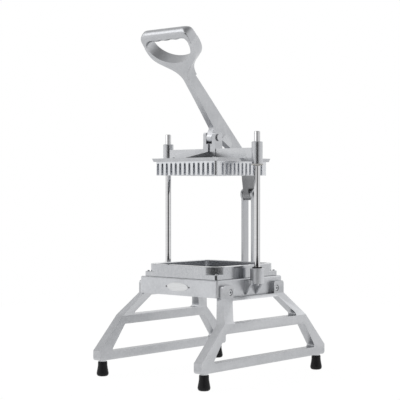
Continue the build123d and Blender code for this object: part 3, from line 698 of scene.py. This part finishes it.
def leg_bolts():
    """Four domed bolts with a hexagon socket, their shanks through pad and wall."""
    low, high = corners("leg_frame_bolts")
    head = 6.3 * MM
    seat = 5.0 * MM
    reach = high.x - 92.0 * MM
    socket = hexagon(SOCKET_ACROSS)
    outline = [
        (0.0, -reach),
        (4.0 * MM, -reach),
        (4.0 * MM, -seat),
        (head, -seat),
        (head, -1.6 * MM),
        (head - 0.5 * MM, -0.8 * MM),
        (head - 1.6 * MM, -0.25 * MM),
        (head - 3.0 * MM, 0.0),
        (SOCKET_ACROSS, 0.0, socket),
        (SOCKET_ACROSS, -SOCKET_DEPTH, socket),
        (0.0, -SOCKET_DEPTH - 0.4 * MM),
    ]
    unit = turned("leg_bolt", outline, "X")
    place = high.y - head
    middle = (0.0, 0.0, (low.z + high.z) / 2)
    return repeated(
        "leg_bolts",
        unit,
        "bright_steel",
        "base",
        ["leg_frame_bolts"],
        2 * high.x,
        2 * place,
        2,
        2,
        middle,
        math.pi,
    )


def oval_rivets():
    """Two small domed rivets at the oval plate's ends."""
    front = corners("base_frame")[0].y
    outline = [
        (0.0, -0.2 * MM),
        (RIVET_RADIUS, -0.2 * MM),
        (RIVET_RADIUS, 0.35 * RIVET_HEIGHT),
        (0.75 * RIVET_RADIUS, 0.8 * RIVET_HEIGHT),
        (0.0, RIVET_HEIGHT),
    ]
    unit = turned("rivet", outline, "-Y")
    middle = (0.0, front, OVAL_HEIGHT)
    piece = repeated(
        "oval_rivets", unit, "rivet", "base", (), 2 * RIVET_PLACE, 0.0, 2, 1, middle
    )
    return piece


def oval_plate():
    """Thin bare plate, dished a little inside a raised rim."""
    shape = bmesh.new()
    front = corners("base_frame")[0].y
    rings = [
        (0.0, 0.0),
        (0.0, OVAL_THICKNESS * 0.6),
        (OVAL_RIM * 0.4, OVAL_THICKNESS),
        (OVAL_RIM * 0.9, OVAL_THICKNESS),
        (OVAL_RIM * 1.3, OVAL_THICKNESS * 0.7),
        (OVAL_HALF_HEIGHT * 0.5, OVAL_THICKNESS * 0.75),
    ]
    loops = []
    for inset, lift in rings:
        loop = []
        for i in range(2 * ROUND_STEPS):
            turn = math.pi * i / ROUND_STEPS
            x = (OVAL_HALF_WIDTH - inset) * math.cos(turn)
            z = (OVAL_HALF_HEIGHT - inset) * math.sin(turn)
            loop.append(shape.verts.new((x, front - lift, OVAL_HEIGHT + z)))
        loops.append(loop)
    for low, high in zip(loops, loops[1:]):
        join_loops(shape, low, high)
    shape.faces.new(loops[-1])
    shape.faces.new(list(reversed(loops[0])))
    piece = new_piece("oval_plate", close_mesh("oval_plate", shape), "oval_plate", "base")
    return piece


def prism(name, outline, low, high, upright):
    """A closed prism on an outline: raised along Z, or laid along Y."""
    shape = bmesh.new()
    ends = []
    for level in (low, high):
        spots = [(x, y, level) if upright else (x, level, y) for x, y in outline]
        ends.append([shape.verts.new(spot) for spot in spots])
    join_loops(shape, *ends)
    shape.faces.new(ends[0])
    shape.faces.new(ends[1])
    return close_mesh(name, shape)


def arc_points(x, y, radius, start, steps):
    """Points of a quarter circle that starts at an angle given in quarter turns."""
    turns = [math.pi / 2 * (start + i / steps) for i in range(steps + 1)]
    return [(x + radius * math.cos(t), y + radius * math.sin(t)) for t in turns]


def slot_tree():
    """Cuts crossed rows of slots out of the incoming block with a cutter that lies along Y."""
    tree = bpy.data.node_groups.new("crossed slots", "GeometryNodeTree")
    kinds = {
        "Geometry": "NodeSocketGeometry",
        "Cutter": "NodeSocketObject",
        "Pitch": "NodeSocketFloat",
        "Across": "NodeSocketInt",
        "Deep": "NodeSocketInt",
        "Material": "NodeSocketMaterial",
    }
    group_inputs(tree, kinds)
    wire = Wire(tree)
    cutter = wire.node("GeometryNodeObjectInfo", {}, {0: group_input(wire, "Cutter")}, output="Geometry")
    rows = [slot_row(wire, cutter, "Across", 0.0), slot_row(wire, cutter, "Deep", math.pi / 2)]
    cut = tree.nodes.new("GeometryNodeMeshBoolean")
    cut.operation = "DIFFERENCE"
    cut.solver = "EXACT"
    cut.inputs["Self Intersection"].default_value = True
    tree.links.new(group_input(wire, "Geometry").socket, cut.inputs["Mesh 1"])
    for row in rows:
        tree.links.new(row.socket, cut.inputs["Mesh 2"])
    return finish_tree(tree, wire, Wire(tree, cut.outputs["Mesh"]))


def slot_row(wire, cutter, count, turn):
    """A row of cutters at the pitch about the middle, the whole row turned about Z."""
    number = group_input(wire, count)
    pitch = group_input(wire, "Pitch")
    start = wire.node("ShaderNodeCombineXYZ", {}, {"X": -0.5 * (pitch * (number - 1.0))})
    step = wire.node("ShaderNodeCombineXYZ", {}, {"X": pitch})
    line = {"Count": number, "Start Location": start, "Offset": step}
    points = wire.node("GeometryNodeMeshLine", {"mode": "OFFSET"}, line)
    row = wire.node("GeometryNodeInstanceOnPoints", {}, {"Points": points, "Instance": cutter})
    row = wire.node("GeometryNodeRealizeInstances", {}, {"Geometry": row})
    return wire.node("GeometryNodeTransform", {}, {"Geometry": row, "Rotation": (0.0, 0.0, turn)})


def finger_block():
    """Block of fingers between crossed slots with arched roofs."""
    low, high = corners("finger_block")
    half_x, half_y = high.x, high.y
    outline = []
    for start, (sx, sy) in enumerate(((1, 1), (-1, 1), (-1, -1), (1, -1))):
        spot = (sx * (half_x - BLOCK_CORNER), sy * (half_y - BLOCK_CORNER))
        outline += arc_points(*spot, BLOCK_CORNER, start, 6)
    body = prism("finger_block", outline, low.z, high.z, True)
    roof = high.z - SLOT_ROOF
    neck = SLOT_NECK / 2
    arch = arc_points(0.0, roof - neck, neck, 0, 5)
    arch += arc_points(0.0, roof - neck, neck, 1, 5)[1:]
    under = low.z - 2 * MM
    section = [(-SLOT_FOOT / 2, under), (SLOT_FOOT / 2, under)] + arch
    reach = max(half_x, half_y) + 5 * MM
    cutter = bpy.data.objects.new("slot", prism("slot", section, -reach, reach, False))
    bpy.context.scene.collection.objects.link(cutter)
    values = {
        "Cutter": cutter,
        "Pitch": PITCH,
        "Across": SLOTS_ACROSS,
        "Deep": SLOTS_DEEP,
        "Material": FINISHES["cast_fingers"],
    }
    mesh = made_of_nodes("finger_block", body, slot_tree(), values)
    bpy.data.objects.remove(cutter)
    shape = bmesh.new()
    shape.from_mesh(mesh)
    bmesh.ops.remove_doubles(shape, verts=shape.verts, dist=0.002 * MM)
    clean = close_mesh("finger_block", shape)
    return new_piece("finger_block_cast", clean, "cast_fingers", "pusher", ["finger_block"])


def camera():
    data = bpy.data.cameras.new("camera")
    data.lens = CAMERA_LENS
    data.sensor_width = 36.0
    data.clip_end = 50.0
    view = bpy.data.objects.new("camera", data)
    bpy.context.scene.collection.objects.link(view)
    turn, dip = math.radians(CAMERA_TURN), math.radians(CAMERA_DIP)
    ahead = Vector((-math.sin(turn), math.cos(turn), -math.tan(dip)))
    view.location = CAMERA_PLACE
    view.rotation_euler = ahead.to_track_quat("-Z", "Y").to_euler()
    bpy.context.scene.camera = view


def along_side(wire, toward, side):
    """How far a direction points to a side, from -1 to 1."""
    settings = {"operation": "DOT_PRODUCT"}
    return wire.node("ShaderNodeVectorMath", settings, {0: toward, 1: side.normalized()}, output="Value")


def backdrop():
    """White to the camera. In metal, a pale room with an unlit stretch low down on one side."""
    world = bpy.data.worlds.new("studio")
    bpy.context.scene.world = world
    world.use_nodes = True
    world.node_tree.nodes.clear()
    wire = Wire(world.node_tree)
    toward = wire.node("ShaderNodeTexCoord", output="Generated")
    lit = along_side(wire, toward, ROOM_SIDE)
    room = ramp(wire, 0.5 + 0.5 * lit, (0.10, ROOM_FAR), (0.78, ROOM_BRIGHT))
    height = wire.node("ShaderNodeSeparateXYZ", {}, {0: toward}, output="Z")
    above = 0.5 + 0.5 * along_side(wire, toward, CEILING_SIDE)
    ceiling = ramp(wire, above, (0.36, CEILING_DIM), (0.58, CEILING_PALE))
    room = between(wire, ramp(wire, height, (0.15, 0.0), (0.75, 1.0)), room, ceiling)
    raised = ramp(wire, 0.5 + 5.0 * height, (0.20, 0.0), (0.50, 1.0))
    unlit = along_side(wire, toward, DARK_SIDE) - DARK_NARROWER * raised
    dark = ramp(wire, unlit, (DARK_EDGE[0], 0.0), (DARK_EDGE[1], 1.0))
    room = between(wire, dark, room, rgba((ROOM_DARK,) * 3))
    rays = {
        name: wire.node("ShaderNodeLightPath", output=name)
        for name in ("Is Camera Ray", "Is Glossy Ray", "Is Transmission Ray")
    }
    seen = rays["Is Camera Ray"]
    colour = between(wire, seen, room, rgba((1.0, 1.0, 1.0)))
    clear = seen.math("MAXIMUM", seen, rays["Is Glossy Ray"])
    clear = clear.math("MAXIMUM", clear, rays["Is Transmission Ray"])
    strength = AMBIENT + (1.0 - AMBIENT) * clear
    light = wire.node("ShaderNodeBackground", {}, {"Color": colour, "Strength": strength})
    wire.node("ShaderNodeOutputWorld", {}, {"Surface": light})


def floor():
    """Pale disc that shows white to the camera and keeps the machine's shadow."""
    shape = bmesh.new()
    bmesh.ops.create_circle(shape, cap_ends=True, segments=96, radius=FLOOR_RADIUS)
    mesh = bpy.data.meshes.new("floor")
    shape.to_mesh(mesh)
    shape.free()
    disc = bpy.data.objects.new("floor", mesh)
    bpy.context.scene.collection.objects.link(disc)
    material, wire = new_tree("floor")
    matt = wire.node("ShaderNodeBsdfDiffuse", {}, {"Color": rgba((0.86,) * 3)})
    path = wire.node("ShaderNodeLightPath", output="Is Camera Ray")
    gloss = wire.node("ShaderNodeLightPath", output="Is Glossy Ray")
    glow = between(wire, gloss, rgba((1.0,) * 3), rgba((FLOOR_IN_METAL,) * 3))
    white = wire.node("ShaderNodeEmission", {}, {"Color": glow, "Strength": FLOOR_GLOW})
    clear = wire.node("ShaderNodeLightPath", output="Is Transmission Ray")
    share = path.math("MAXIMUM", path, path.math("MAXIMUM", gloss, clear))
    shader = wire.node("ShaderNodeMixShader", {}, {0: FLOOR_WHITE * share, 1: matt, 2: white})
    finish_with(wire, shader)
    mesh.materials.append(material)


def lamp(name, place, aim, size, power):
    data = bpy.data.lights.new(name, "AREA")
    data.shape = "DISK"
    data.size = size
    data.energy = power
    light = bpy.data.objects.new(name, data)
    bpy.context.scene.collection.objects.link(light)
    light.location = place
    light.rotation_euler = (Vector(aim) - Vector(place)).to_track_quat("-Z", "Y").to_euler()


def lamps():
    aim = (0.0, 0.0, 0.35)
    lamp("key lamp", (-1.6, -2.4, 2.4), aim, 2.6, 20.0)
    lamp("fill lamp", (0.7, 2.7, 2.2), aim, 2.4, 8.0)


bpy.context.scene.view_settings.view_transform = "Standard"
camera()
backdrop()
floor()
lamps()
paint_frame()
for casting, cast_finish in CASTINGS.items():
    soften(casting, cast_finish)
soften("handle", "cast_lever", remake_grip)
finger_block()
rubber_feet()
guide_rods()
leg_bolts()
oval_plate()
oval_rivets()
